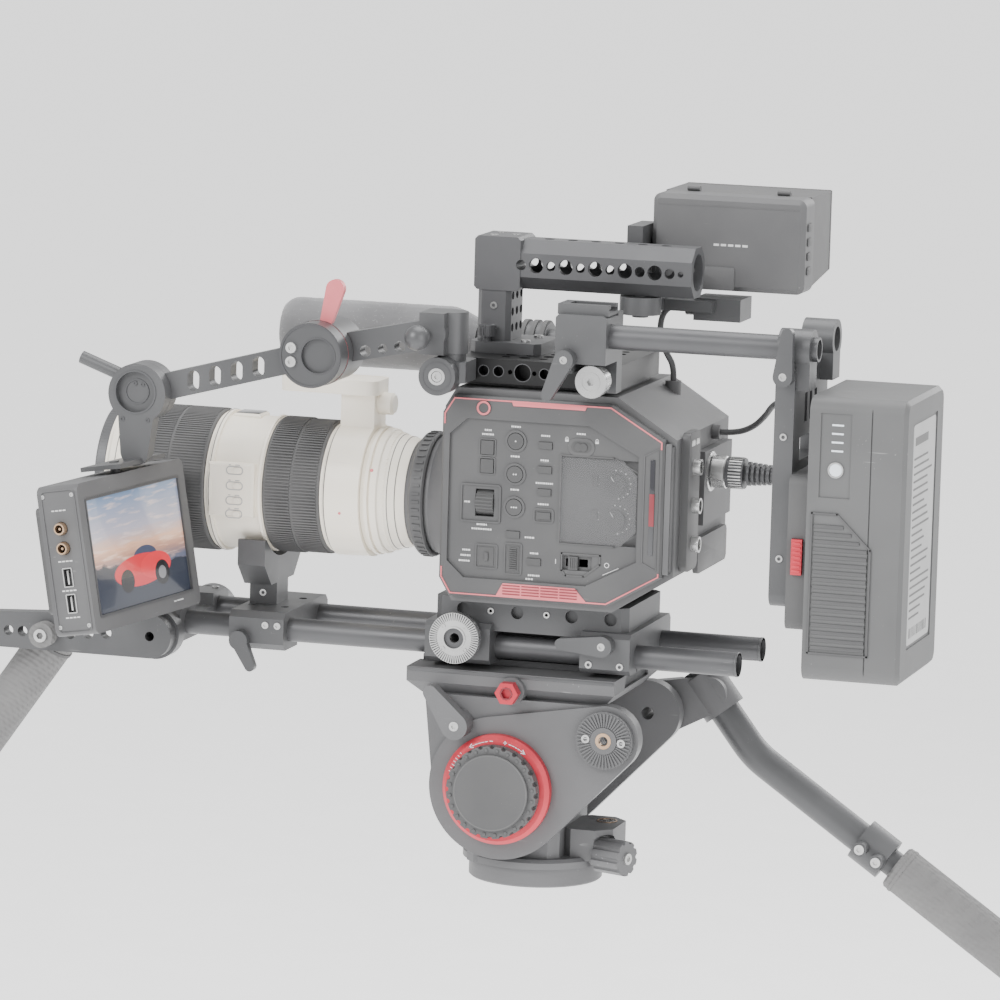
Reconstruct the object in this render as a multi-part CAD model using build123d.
"""Cinema camera rig on a fluid head: camera, lens, monitor, battery and their mounting hardware.

Millimetres.  +X runs to the rear of the camera, +Y away from the operator's side, +Z up.
The origin is the centre of the head's flat seat, where its tripod screw enters.
"""

from build123d import *
from math import acos, atan2, cos, radians, sin, sqrt
import os

# ---------------------------------------------------------------- driving dimensions
# Fits
RUN = 0.05  # radial clearance of a turning or sliding pair
AIR = 0.3  # air between neighbours that move past each other

# Fluid head
SEAT_R = 42.0  # flat seat on the tripod
SEAT_H = 12.0
SCREW_R = 4.7625  # 3/8 inch tripod screw
SCREW_DEPTH = 10.0
PAN_PIN_R = 16.0
PAN_PIN_H = 14.0
BOWL_R = 46.0
BOWL_H = 6.0
TILT_X = -10.0  # tilt axis
TILT_Z = 64.0
HUB_R = 31.0
HUB_HALF = 41.0
WALL_IN = 44.0  # side walls of the tilting cradle
WALL_T = 10.0
WALL_R = 45.0
ROSETTE_X = 58.0  # pan bar rosettes
ROSETTE_Z = 100.0
ROSETTE_R = 18.0
ROSETTE_T = 4.0
CHANNEL_X0 = -72.0  # dovetail channel of the plate
CHANNEL_X1 = 62.0
CHANNEL_HALF = 52.0
CHANNEL_H = 17.0
CHANNEL_TOP = 136.0
DOVETAIL_TOP = 24.0  # half widths of the dovetail
DOVETAIL_FOOT = 28.0
DOVETAIL_H = 8.0
DIAL_R = 29.0
DIAL_FACE_R = 24.0
DRAG_RING_R = 34.5
BAR_R = 10.0  # pan bar
BAR_WALL = 1.4
BAR_Y = 71.0
BAR_OVERLAP = 70.0
BAR_EXTENSION = 245.0

# Rods and plates
ROD_R = 7.5
ROD_HALF_SPACING = 30.0
ROD_Z = 149.0
ROD_X0 = -252.0
ROD_X1 = 135.0
PLATE_RISE = 3.5  # slide plate above the channel

# Camera body
LENS_Z = 237.0  # lens axis
BODY_X0 = -50.0
BODY_X1 = 98.0
BODY_Z0 = 180.0
BODY_Z1 = 313.0
BODY_NEAR = -56.0
BODY_FAR = 75.0
BODY_WALL = 4.0
PANEL_T = 6.0
PANEL_RECESS = 2.0

# Lens, from the front rim to the bayonet
LENS_FRONT = -284.0
LENS_REAR = -82.5
LENS_R = 44.4
FOCUS_X0 = -255.0
FOCUS_X1 = -211.0
ZOOM_X0 = -173.0
ZOOM_X1 = -136.0
COLLAR_X0 = -132.0
COLLAR_X1 = -110.0
RING_DEPTH = 5.4  # lens radius above the neck under the turning rings
NECK_R = LENS_R - RING_DEPTH

# Top plate and handle
CHEESE_X0 = -46.0
CHEESE_X1 = 58.0
CHEESE_HALF = 50.0
PLATE_GAP = 3.0  # top plate above the camera body
CHEESE_Z0 = BODY_Z1 + PLATE_GAP
CHEESE_T = 15.0
HANDLE_RISE = 70.0
HANDLE_Z = CHEESE_Z0 + HANDLE_RISE
HANDLE_R = 15.5
HANDLE_X1 = 93.0
POST_X0 = -44.0
POST_X1 = -22.5
POST_HALF = 15.0

# Rear rod, bracket and battery
SIDE_ROD_Y = -75.0
SIDE_ROD_RISE = 36.5
SIDE_ROD_Z = CHEESE_Z0 + SIDE_ROD_RISE
SIDE_ROD_X0 = 30.0
SIDE_ROD_X1 = 189.5
BRACKET_X0 = 166.0
BRACKET_T = 12.0
BATTERY_X0 = 191.0
BATTERY_DEPTH = 60.0
BATTERY_W = 100.0
BATTERY_H = 172.0
BATTERY_DROP = 197.5  # battery foot below the rear rod
BATTERY_Z0 = SIDE_ROD_Z - BATTERY_DROP
BATTERY_Y = -50.0

# Monitor arm and monitor
ARM_X = -50.0
ARM_Y = -70.0
HUB_X = -122.0
HUB_RISE = 17.0
HUB_Z = CHEESE_Z0 + HUB_RISE
ARM_HUB_R = 20.0
END_X = -231.0
END_DROP = 29.5  # front arm from hub to end
END_Z = HUB_Z - END_DROP
END_R = 18.6
MONITOR_W = 137.0
MONITOR_H = 92.0
MONITOR_T = 28.0
MONITOR_Y = -124.0
MONITOR_DROP = 46.5  # monitor top below the arm end
MONITOR_TOP_Z = END_Z - MONITOR_DROP
MONITOR_TOP_X = -231.0
MONITOR_LEAN = 10.0  # degrees, the foot of the screen towards the camera
MONITOR_YAW = 8.0  # degrees, the screen towards the operator

# Viewfinder screen
LCD_X0 = 52.0
LCD_X1 = 150.0
LCD_DROP = 15.0  # screen foot below the handle axis
LCD_H = 59.0
LCD_Z0 = HANDLE_Z - LCD_DROP
LCD_Z1 = LCD_Z0 + LCD_H
LCD_Y = 52.0
LCD_T = 24.0

# Microphone
MIC_Y = 90.0
MIC_RISE = 7.5
MIC_Z = CHEESE_Z0 + MIC_RISE
MIC_R = 10.5
FOAM_R = 21.5
FOAM_X0 = -206.0
FOAM_X1 = -73.0

# Leads, as points of their routes
LEAD_R = 1.9
XLR_LEAD_R = 1.7
LCD_ROUTE = [
    (74.0, 48.0, 359.5),
    (66.0, 48.0, 359.5),
    (60.2, 47.5, 356.0),
    (57.5, 47.0, 349.0),
    (58.2, 45.0, 338.0),
    (63.5, 42.0, 329.5),
    (69.0, 40.0, 322.0),
    (69.0, 40.0, 313.0),
]
POWER_ROUTE = [
    (103.0, 30.0, 284.0),
    (113.0, 30.0, 284.0),
    (125.0, 26.0, 289.0),
    (135.0, 16.0, 298.0),
    (142.0, 3.0, 306.0),
    (150.0, -10.0, 311.0),
    (160.0, -10.0, 311.0),
]
XLR_ROUTE = [
    (147.0, 10.0, 262.0),
    (156.0, 10.0, 262.0),
    (167.0, 12.5, 264.5),
    (177.5, 12.5, 268.0),
    (184.5, 6.0, 270.0),
    (184.5, -3.0, 270.0),
]


# ---------------------------------------------------------------- shape helpers
def block(x, y, z):
    """Box between two limits on each axis."""
    centre = ((x[0] + x[1]) / 2, (y[0] + y[1]) / 2, (z[0] + z[1]) / 2)
    return Pos(*centre) * Box(x[1] - x[0], y[1] - y[0], z[1] - z[0])


def along_x(x0, x1, y, z, radius):
    """Cylinder along X."""
    plane = Plane(origin=(x0, y, z), x_dir=(0, 1, 0), z_dir=(1, 0, 0))
    return plane * Cylinder(radius, x1 - x0, align=(Align.CENTER, Align.CENTER, Align.MIN))


def along_y(y0, y1, x, z, radius):
    """Cylinder along Y."""
    plane = Plane(origin=(x, y0, z), x_dir=(1, 0, 0), z_dir=(0, 1, 0))
    return plane * Cylinder(radius, y1 - y0, align=(Align.CENTER, Align.CENTER, Align.MIN))


def along_z(z0, z1, x, y, radius):
    """Cylinder along Z."""
    plane = Plane(origin=(x, y, z0))
    return plane * Cylinder(radius, z1 - z0, align=(Align.CENTER, Align.CENTER, Align.MIN))


def prism_y(outline, y0, y1):
    """Prism along Y over an outline of (x, z) points."""
    points = [(x, y0, z) for x, z in outline]
    face = make_face(Polyline(*points, close=True))
    return extrude(face, amount=y1 - y0, dir=(0, 1, 0))


def prism_x(outline, x0, x1):
    """Prism along X over an outline of (y, z) points."""
    points = [(x0, y, z) for y, z in outline]
    face = make_face(Polyline(*points, close=True))
    return extrude(face, amount=x1 - x0, dir=(1, 0, 0))


def turned(profile, y=0.0, z=LENS_Z):
    """Solid of revolution about an axis along X, from (x, radius) points."""
    points = [(x, y, z + r) for x, r in profile]
    face = make_face(Polyline(*points, close=True))
    return revolve(face, axis=Axis((0, y, z), (1, 0, 0)))


def strap(a, b, ra, rb, y0, y1):
    """Flat link along Y that wraps two circles at (x, z) points a and b."""
    reach = sqrt((b[0] - a[0]) ** 2 + (b[1] - a[1]) ** 2)
    heading = atan2(b[1] - a[1], b[0] - a[0])
    spread = acos((ra - rb) / reach)
    corners = []
    for centre, radius, side in ((a, ra, 1), (b, rb, 1), (b, rb, -1), (a, ra, -1)):
        angle = heading + side * spread
        corners.append((centre[0] + radius * cos(angle), centre[1] + radius * sin(angle)))
    link = prism_y(corners, y0, y1)
    link += along_y(y0, y1, a[0], a[1], ra)
    link += along_y(y0, y1, b[0], b[1], rb)
    return link


def octagon(x, z, left, right):
    """Outline with its four corners cut at 45 degrees or less: left and right are (dx, dz)."""
    return [
        (x[0], z[0] + left[1]),
        (x[0] + left[0], z[0]),
        (x[1] - right[0], z[0]),
        (x[1], z[0] + right[1]),
        (x[1], z[1] - right[1]),
        (x[1] - right[0], z[1]),
        (x[0] + left[0], z[1]),
        (x[0], z[1] - left[1]),
    ]


def rounded(solid, axis, radius):
    """Solid with its edges along one axis rounded."""
    return fillet(solid.edges().filter_by(axis), radius)


def eased(solid, axis, length):
    """Solid with its edges along one axis chamfered."""
    return chamfer(solid.edges().filter_by(axis), length)


def slot_y(x, z, width, height, y0, y1):
    """Obround cutter along Y, upright, centred on (x, z)."""
    half = height / 2 - width / 2
    cutter = block((x - width / 2, x + width / 2), (y0, y1), (z - half, z + half))
    cutter += along_y(y0, y1, x, z + half, width / 2)
    cutter += along_y(y0, y1, x, z - half, width / 2)
    return cutter


def tube_along(points, radius, share=0.45):
    """Solid cord: straight runs joined by arcs tangent to them, and its arc radii."""
    path_points = [Vector(*p) for p in points]
    radii = []
    for before, corner, after in zip(path_points, path_points[1:], path_points[2:]):
        turn = (corner - before).get_angle(after - corner)
        shorter = min((corner - before).length, (after - corner).length)
        radii.append(share * shorter / sin(radians(turn / 2)) * cos(radians(turn / 2)))
    path = FilletPolyline(*path_points, radius=radii)
    start = Plane(origin=path @ 0, z_dir=path % 0)
    return sweep(start * Circle(radius), path=path), radii, path


# ---------------------------------------------------------------- fluid head
def head_base():
    """Flat seat with the tripod thread, and the pin that the head pans on."""
    seat = along_z(0, SEAT_H, 0, 0, SEAT_R)
    seat = chamfer(seat.faces().sort_by(Axis.Z)[0].edges(), 1.0)
    seat += along_z(SEAT_H, SEAT_H + PAN_PIN_H, 0, 0, PAN_PIN_R)
    return seat - along_z(0, SCREW_DEPTH, 0, 0, SCREW_R)


KNOB_TURN = -20.0  # degrees from +X, heading of the pan lock
KNOB_Z = 20.0
KNOB_R = 11.0
KNOB_START = 50.0
KNOB_LENGTH = 20.0


def heading_cylinder(start, length, z, radius):
    """Cylinder along the pan lock's axis, from a distance off the pan axis."""
    aim = Vector(cos(radians(KNOB_TURN)), sin(radians(KNOB_TURN)), 0)
    plane = Plane(origin=aim * start + Vector(0, 0, z), z_dir=aim)
    return plane * Cylinder(radius, length, align=(Align.CENTER, Align.CENTER, Align.MIN))


def head_yoke():
    """Panning body: bowl, pillar and the drum that the cradle tilts on."""
    low = SEAT_H + AIR
    top = low + BOWL_H
    bowl = along_z(low, top, 0, 0, BOWL_R)
    bowl = chamfer(bowl.faces().sort_by(Axis.Z)[-1].edges(), 2.0)
    pillar = block((TILT_X - 26, TILT_X + 34), (-HUB_HALF + 4, HUB_HALF - 4), (low, TILT_Z))
    pillar = eased(pillar, Axis.Z, 6)
    drum = along_y(-HUB_HALF, HUB_HALF, TILT_X, TILT_Z, HUB_R)
    lug = block((20, 54), (-24, 24), (top - 2, 36))
    lug = eased(lug, Axis.Z, 9)
    lug -= heading_cylinder(KNOB_START - AIR, KNOB_LENGTH, KNOB_Z, KNOB_R + 2)
    boss = heading_cylinder(30, KNOB_START - AIR - 30, KNOB_Z, 8)
    body = bowl + pillar + drum + lug + boss
    body -= along_z(low, SEAT_H + PAN_PIN_H + AIR, 0, 0, PAN_PIN_R + RUN)
    body -= heading_cylinder(34, 20, KNOB_Z, 4 + RUN)
    body -= along_y(-HUB_HALF, HUB_HALF, TILT_X, TILT_Z, TILT_PIN_R + RUN)
    body -= along_z(36 - 2, 36, 43, 10, 6)
    return body


TILT_PIN_R = 12.0


def pan_lock_knob():
    """Ribbed knob with its screw."""
    knob = heading_cylinder(KNOB_START, KNOB_LENGTH, KNOB_Z, KNOB_R)
    aim = Vector(cos(radians(KNOB_TURN)), sin(radians(KNOB_TURN)), 0)
    side = Vector(-sin(radians(KNOB_TURN)), cos(radians(KNOB_TURN)), 0)
    ribs = 10
    middle = aim * (KNOB_START + KNOB_LENGTH / 2) + Vector(0, 0, KNOB_Z)
    for i in range(ribs):
        turn = radians(360 * i / ribs)
        offset = side * (KNOB_R * cos(turn)) + Vector(0, 0, KNOB_R * sin(turn))
        groove = Plane(origin=middle + offset, z_dir=aim) * Cylinder(1.5, KNOB_LENGTH)
        knob -= groove
    return knob + heading_cylinder(38, KNOB_START - 38, KNOB_Z, 4)


def cradle():
    """Tilting body: two side walls, the channel for the plate and the tilt pin."""
    channel = block(
        (CHANNEL_X0, CHANNEL_X1), (-CHANNEL_HALF, CHANNEL_HALF), (CHANNEL_TOP - CHANNEL_H, CHANNEL_TOP)
    )
    channel = chamfer(channel.faces().sort_by(Axis.Z)[0].edges(), 8.0)
    body = channel
    low = CHANNEL_TOP - CHANNEL_H + 1
    for side in (-1, 1):
        y0, y1 = sorted((side * WALL_IN, side * (WALL_IN + WALL_T)))
        inner0, inner1 = sorted((side * WALL_IN, side * (WALL_IN + WALL_T - 3)))
        wall = strap((TILT_X, TILT_Z), (ROSETTE_X, ROSETTE_Z), WALL_R, ROSETTE_R + 3, y0, y1)
        shoulder = [
            (CHANNEL_X0 + 12, low),
            (TILT_X - WALL_R + 1, TILT_Z),
            (TILT_X, TILT_Z),
            (ROSETTE_X, ROSETTE_Z),
            (CHANNEL_X1 - 6, low),
        ]
        body += wall + prism_y(shoulder, inner0, inner1)
        disc0, disc1 = sorted((side * (WALL_IN + WALL_T), side * (WALL_IN + WALL_T + ROSETTE_T)))
        body += along_y(disc0, disc1, ROSETTE_X, ROSETTE_Z, ROSETTE_R)
        body -= along_y(y0, disc1 + 1, ROSETTE_X, ROSETTE_Z, 4) if side > 0 else along_y(
            disc0 - 1, y1, ROSETTE_X, ROSETTE_Z, 4
        )
    body += along_y(-WALL_IN - WALL_T - DIAL_BOSS, WALL_IN + WALL_T, TILT_X, TILT_Z, TILT_PIN_R)
    body += along_y(BUTTON_Y1, -CHANNEL_HALF + 10, BUTTON_X, BUTTON_Z, BUTTON_R + 1)
    body += along_y(-WALL_IN - WALL_T - 4, -WALL_IN - 1, LOCK_X, LOCK_Z, 8.5)
    foot = CHANNEL_TOP - DOVETAIL_H
    groove = [
        (-DOVETAIL_TOP, CHANNEL_TOP),
        (-DOVETAIL_FOOT, foot),
        (DOVETAIL_FOOT, foot),
        (DOVETAIL_TOP, CHANNEL_TOP),
    ]
    body -= prism_x(groove, CHANNEL_X0 - 1, CHANNEL_X1 + 1)
    body -= along_y(-WALL_IN - WALL_T - DIAL_BOSS - 1, -WALL_IN, TILT_X, TILT_Z, DIAL_PIN_R + RUN)
    body -= along_y(BUTTON_Y1 - 1, -CHANNEL_HALF + 16, BUTTON_X, BUTTON_Z, BUTTON_PIN_R + RUN)
    body -= along_y(-WALL_IN - WALL_T - 5, -WALL_IN - 2, LOCK_X, LOCK_Z, LOCK_PIN_R + RUN)
    return body


DIAL_BOSS = 8.0
DIAL_PIN_R = 6.0
BUTTON_X = -3.0
BUTTON_Z = 126.0
BUTTON_R = 7.5
BUTTON_PIN_R = 3.0
BUTTON_Y1 = -56.0
BUTTON_TRAVEL = 3.0
LOCK_X = -36.0
LOCK_Z = 103.0
LOCK_PIN_R = 4.0


def tilt_drag_ring():
    """Ring that sets the tilt drag, on the boss around the tilt axis."""
    near = -WALL_IN - WALL_T
    ring = along_y(near - DIAL_BOSS + AIR, near - AIR, TILT_X, TILT_Z, DRAG_RING_R)
    ring = chamfer(ring.faces().sort_by(Axis.Y)[0].edges(), 2.5)
    return ring - along_y(near - DIAL_BOSS, near, TILT_X, TILT_Z, TILT_PIN_R + RUN)


def counterbalance_dial():
    """Dial over the drag ring, with a ribbed rim and a plain raised face."""
    near = -WALL_IN - WALL_T - DIAL_BOSS
    dial = along_y(near - 8, near - AIR, TILT_X, TILT_Z, DIAL_R)
    ribs = 24
    for i in range(ribs):
        turn = radians(360 * i / ribs)
        x = TILT_X + DIAL_R * cos(turn)
        z = TILT_Z + DIAL_R * sin(turn)
        dial -= along_y(near - 9, near - 3, x, z, 1.6)
    dial += along_y(near - 10, near - 8, TILT_X, TILT_Z, DIAL_FACE_R)
    return dial + along_y(near - AIR, near + 12, TILT_X, TILT_Z, DIAL_PIN_R)


def plate_lock_lever():
    """Wing lever that clamps the slide plate."""
    near = -WALL_IN - WALL_T - 4
    wing = strap((LOCK_X, LOCK_Z), (LOCK_X - 16, LOCK_Z + 20), 8.5, 4.5, near - 9, near - AIR)
    wing += along_y(near - AIR, near + 10, LOCK_X, LOCK_Z, LOCK_PIN_R)
    return wing - along_y(near - 10, near - 6, LOCK_X, LOCK_Z, 2.5)


def plate_safety_button():
    """Hexagonal button that frees the slide plate, on a sprung pin."""
    gap = BUTTON_TRAVEL + AIR
    plane = Plane(origin=(BUTTON_X, BUTTON_Y1 - gap - 7, BUTTON_Z), x_dir=(1, 0, 0), z_dir=(0, 1, 0))
    head = plane * extrude(RegularPolygon(BUTTON_R, 6), 7)
    head += along_y(BUTTON_Y1 - gap - 1, -CHANNEL_HALF + 12, BUTTON_X, BUTTON_Z, BUTTON_PIN_R)
    return head - along_y(BUTTON_Y1 - gap - 8, BUTTON_Y1 - gap - 4, BUTTON_X, BUTTON_Z, 4)


BAR_TOP = (82.0, 126.0)
BAR_ELBOW = (122.0, 74.0)
BAR_END = (206.0, 17.0)
SLEEVE_R = 14.0


def bar_unit():
    """Unit vector along the lower run of the pan bar, in x and z."""
    dx, dz = BAR_END[0] - BAR_ELBOW[0], BAR_END[1] - BAR_ELBOW[1]
    length = sqrt(dx * dx + dz * dz)
    return dx / length, dz / length


def on_bar(start, length, radius):
    """Cylinder on the lower run, from a distance past its end."""
    ux, uz = bar_unit()
    origin = (BAR_END[0] + ux * start, BAR_Y, BAR_END[1] + uz * start)
    plane = Plane(origin=origin, z_dir=(ux, 0, uz))
    return plane * Cylinder(radius, length, align=(Align.CENTER, Align.CENTER, Align.MIN))


def pan_bar_clamp():
    """Rosette clamp that carries the pan bar on the far side of the cradle."""
    inner = WALL_IN + WALL_T + ROSETTE_T + AIR
    dx, dz = BAR_ELBOW[0] - BAR_TOP[0], BAR_ELBOW[1] - BAR_TOP[1]
    run = sqrt(dx * dx + dz * dz)
    middle = (BAR_TOP[0] + dx * 18 / run, BAR_TOP[1] + dz * 18 / run)
    body = strap((ROSETTE_X, ROSETTE_Z), middle, ROSETTE_R, 12, inner, inner + 10)
    start = Vector(BAR_TOP[0] + dx * 4 / run, BAR_Y, BAR_TOP[1] + dz * 4 / run)
    sleeve = Plane(origin=start, z_dir=(dx, 0, dz))
    body += sleeve * Cylinder(SLEEVE_R, 28, align=(Align.CENTER, Align.CENTER, Align.MIN))
    body -= sleeve * Cylinder(BAR_R + RUN, 80)
    body += along_y(inner, inner + 20, ROSETTE_X, ROSETTE_Z, 9)
    return body - along_y(inner - 1, inner + 21, ROSETTE_X, ROSETTE_Z, 4)


def pan_bar():
    """Bent tube with the clamp collar of the telescopic end."""
    points = [
        (BAR_TOP[0], BAR_Y, BAR_TOP[1]),
        (BAR_ELBOW[0], BAR_Y, BAR_ELBOW[1]),
        (BAR_END[0], BAR_Y, BAR_END[1]),
    ]
    path = FilletPolyline(*[Vector(*p) for p in points], radius=60)
    start = Plane(origin=path @ 0, z_dir=path % 0)
    tube = sweep(start * Circle(BAR_R), path=path)
    collar = on_bar(-16, 22, BAR_R + 4)
    ux, uz = bar_unit()
    for along in (-11, 2):
        x = BAR_END[0] + ux * along
        z = BAR_END[1] + uz * along
        collar += along_y(BAR_Y - BAR_R - 12, BAR_Y - BAR_R, x, z, 4.5)
    tube += collar
    tube -= on_bar(-BAR_OVERLAP - 6, BAR_OVERLAP + 30, BAR_R - BAR_WALL)
    return tube


def pan_bar_extension():
    """Telescopic tube with its rubber grip."""
    tube = on_bar(-BAR_OVERLAP, BAR_EXTENSION, BAR_R - BAR_WALL - RUN)
    grip = on_bar(BAR_EXTENSION - BAR_OVERLAP - 112, 112, 14.5)
    grip = chamfer(grip.edges().filter_by(GeomType.CIRCLE), 3)
    tube += grip
    return tube - on_bar(-BAR_OVERLAP - 1, 60, BAR_R - BAR_WALL - 1.5)


# ---------------------------------------------------------------- plates and rods
DECK_Z = CHANNEL_TOP + PLATE_RISE  # underside of the baseplate


def slide_plate():
    """Plate with a dovetail foot that slides in the head's channel."""
    foot = CHANNEL_TOP - DOVETAIL_H + 0.1
    play = 0.1
    wedge = [
        (-DOVETAIL_TOP + play, CHANNEL_TOP),
        (-DOVETAIL_FOOT + play, foot),
        (DOVETAIL_FOOT - play, foot),
        (DOVETAIL_TOP - play, CHANNEL_TOP),
    ]
    body = prism_x(wedge, -70, 60)
    body += block((-70, 60), (-DOVETAIL_TOP + play, DOVETAIL_TOP - play), (CHANNEL_TOP, DECK_Z))
    for x in (-50, 40):
        body -= along_z(foot - 1, DECK_Z + 1, x, 0, 3.3)
    return body


BASE_FRONT = (-62.0, -20.0)
BASE_REAR = (38.0, 70.0)
BASE_HALF = 48.0
BASE_TOP = 165.0
RISER_HALF = 40.0
BASE_ROSETTE_X = -39.5
BASE_ROSETTE_Z = 157.0
BASE_ROSETTE_R = 15.9
ROD_LEVER_X = 54.0
ROD_LEVER_Z = 158.0


def rod_bores(x0, x1, radius=ROD_R):
    """Cutters for the two lower rods."""
    cutters = along_x(x0, x1, -ROD_HALF_SPACING, ROD_Z, radius)
    return cutters + along_x(x0, x1, ROD_HALF_SPACING, ROD_Z, radius)


def baseplate():
    """Riser under the camera with two rod clamps and rosette bosses."""
    body = block((-58, 66), (-RISER_HALF, RISER_HALF), (160, BODY_Z0))
    body = eased(body, Axis.Z, 4)
    body += block((-62, 70), (-20, 20), (DECK_Z, 160))
    for x0, x1 in (BASE_FRONT, BASE_REAR):
        clamp = block((x0, x1), (-BASE_HALF, BASE_HALF), (DECK_Z, BASE_TOP))
        body += eased(clamp, Axis.X, 3)
    for side in (-1, 1):
        y0, y1 = sorted((side * (BASE_HALF - 2), side * (BASE_HALF + 7)))
        body += along_y(y0, y1, BASE_ROSETTE_X, BASE_ROSETTE_Z, 14)
    body -= rod_bores(-70, 80, ROD_R + RUN)
    for side in (-1, 1):
        slit = (side * ROD_HALF_SPACING - 1, side * ROD_HALF_SPACING + 1)
        for x0, x1 in (BASE_FRONT, BASE_REAR):
            body -= block((x0 - 1, x1 + 1), slit, (DECK_Z - 1, ROD_Z - 6))
    body -= along_y(-BASE_HALF - 8, -BASE_HALF + 6, BASE_ROSETTE_X, BASE_ROSETTE_Z, 3)
    body -= along_y(BASE_HALF - 6, BASE_HALF + 8, BASE_ROSETTE_X, BASE_ROSETTE_Z, 3)
    body -= along_y(-BASE_HALF - 1, -BASE_HALF + 8, ROD_LEVER_X, ROD_LEVER_Z, 3 + RUN)
    for x in (-40, -5, 30, 55):
        body -= slot_y(x, 172.5, 8, 8.01, -RISER_HALF - 1, -RISER_HALF + 4)
    return body


def baseplate_rosettes():
    """Two serrated steel discs, one on each side of the baseplate."""
    discs = Part()
    for side in (-1, 1):
        y0, y1 = sorted((side * (BASE_HALF + 7), side * (BASE_HALF + 12)))
        disc = along_y(y0, y1, BASE_ROSETTE_X, BASE_ROSETTE_Z, BASE_ROSETTE_R)
        disc -= along_y(y0, y1, BASE_ROSETTE_X, BASE_ROSETTE_Z, 3)
        face0, face1 = sorted((side * (BASE_HALF + 10), side * (BASE_HALF + 12)))
        disc -= along_y(face0, face1, BASE_ROSETTE_X, BASE_ROSETTE_Z, 6.5)
        discs += disc
    return discs


def rod_clamp_lever():
    """Ratchet lever of the rear rod clamp."""
    near = -BASE_HALF
    lever = strap((ROD_LEVER_X, ROD_LEVER_Z), (ROD_LEVER_X - 26, ROD_LEVER_Z), 6.5, 3.5, near - 9, near - 2)
    lever += along_y(near - 9, near - AIR, ROD_LEVER_X, ROD_LEVER_Z, 6.5)
    lever += along_y(near - AIR, near + 7, ROD_LEVER_X, ROD_LEVER_Z, 3)
    return lever - along_y(near - 10, near - 6, ROD_LEVER_X, ROD_LEVER_Z, 2.4)


def rail_rods():
    """Two 15 mm tubes under the camera."""
    rods = rod_bores(ROD_X0, ROD_X1)
    return rods - rod_bores(ROD_X0 - 1, ROD_X1 + 1, ROD_R - 1.5)


# ---------------------------------------------------------------- camera body
BODY_OUTLINE = octagon((BODY_X0, BODY_X1), (BODY_Z0, BODY_Z1), (7.0, 12.0), (38.0, 24.0))
CORE_OUTLINE = octagon(
    (BODY_X0 + BODY_WALL, BODY_X1 - BODY_WALL),
    (BODY_Z0 + BODY_WALL, BODY_Z1 - BODY_WALL),
    (7.0, 12.0),
    (36.0, 23.0),
)
PANEL_OUTLINE = octagon((BODY_X0, BODY_X1 - 6), (BODY_Z0 + 4, BODY_Z1 - 4), (7.0, 11.0), (34.0, 20.0))
FACE_OUTLINE = octagon((BODY_X0 + 5, BODY_X1 - 22), (BODY_Z0 + 16, BODY_Z1 - 18), (11.0, 10.0), (32.0, 17.0))
FACE_Y = BODY_NEAR - PANEL_T + PANEL_RECESS  # control face, sunk in the panel
XLR_Y = 10.0
XLR_Z = 262.0


def camera_body():
    """Hollow chassis with the rear connector block and the land for the top plate."""
    body = prism_y(BODY_OUTLINE, BODY_NEAR, BODY_FAR)
    body = chamfer(body.faces().sort_by(Axis.Y)[-1].edges(), 6)
    body += block((CHEESE_X0 + 4, CHEESE_X1 - 4), (-38, 38), (BODY_Z1 - 2, CHEESE_Z0))
    nose = BODY_X0 - 16
    throat = [(LENS_REAR, 24), (LENS_REAR, 33), (LENS_REAR + 4, 35), (nose, 37), (BODY_X0 - 4, 46)]
    body += turned(throat + [(BODY_X0 + 1, 48), (BODY_X0 + 1, 24)])
    body -= prism_y(CORE_OUTLINE, BODY_NEAR - 1, BODY_FAR - 10)
    body -= along_x(LENS_REAR - 1, BODY_X0 + 6, 0, LENS_Z, 24)
    body += block((BODY_X1 - 2, BODY_X1 + 5), (XLR_Y - 16, XLR_Y + 50), (XLR_Z - 32, XLR_Z + 14))
    body -= along_x(BODY_X1 + 1, BODY_X1 + 6, XLR_Y, XLR_Z, XLR_RING_R + RUN)
    body += along_z(BODY_Z1 - 16, LCD_ROUTE[-1][2], LCD_ROUTE[-1][0], LCD_ROUTE[-1][1], 5)
    body += along_x(BODY_X1 - 2, POWER_ROUTE[0][0], POWER_ROUTE[0][1], POWER_ROUTE[0][2], 4.5)
    body -= along_z(BODY_Z0 - 1, BODY_Z0 + BODY_WALL + 1, 0, 0, 3.3)
    return body


XLR_RING_R = 9.0
BUTTON_FIT = 0.15
ROUND_KEYS = [(-3.0, 282.5), (-3.0, 262.0), (-3.0, 241.5)]
SMALL_KEYS = [(16.0, 281.0), (16.0, 266.0), (16.0, 252.0), (16.0, 237.5), (-3.3, 224.5), (10.6, 208.5)]
SQUARE_KEYS = [(-21.0, 277.5), (-21.0, 266.0)]
RECORD_KEY = (-23.5, 302.0)
ROUND_KEY_R = 5.0
SMALL_KEY = (8.5, 4.2)
SQUARE_KEY = (8.0, 8.5)
RECORD_KEY_R = 4.5
WHEEL_X = -22.0
WHEEL_Z = 243.0
WHEEL_R = 10.0
WHEEL_W = 11.0
WELL = ((26.0, 75.0), (222.0, 275.0))  # audio controls, under their clear door
KNOB_X = 61.0
AUDIO_ROWS = (259.5, 237.8)
POWER_X = 37.5
POWER_Z = 209.5
WELL_DEPTH = 3.4
WELL_FLOOR = FACE_Y + WELL_DEPTH


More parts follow.
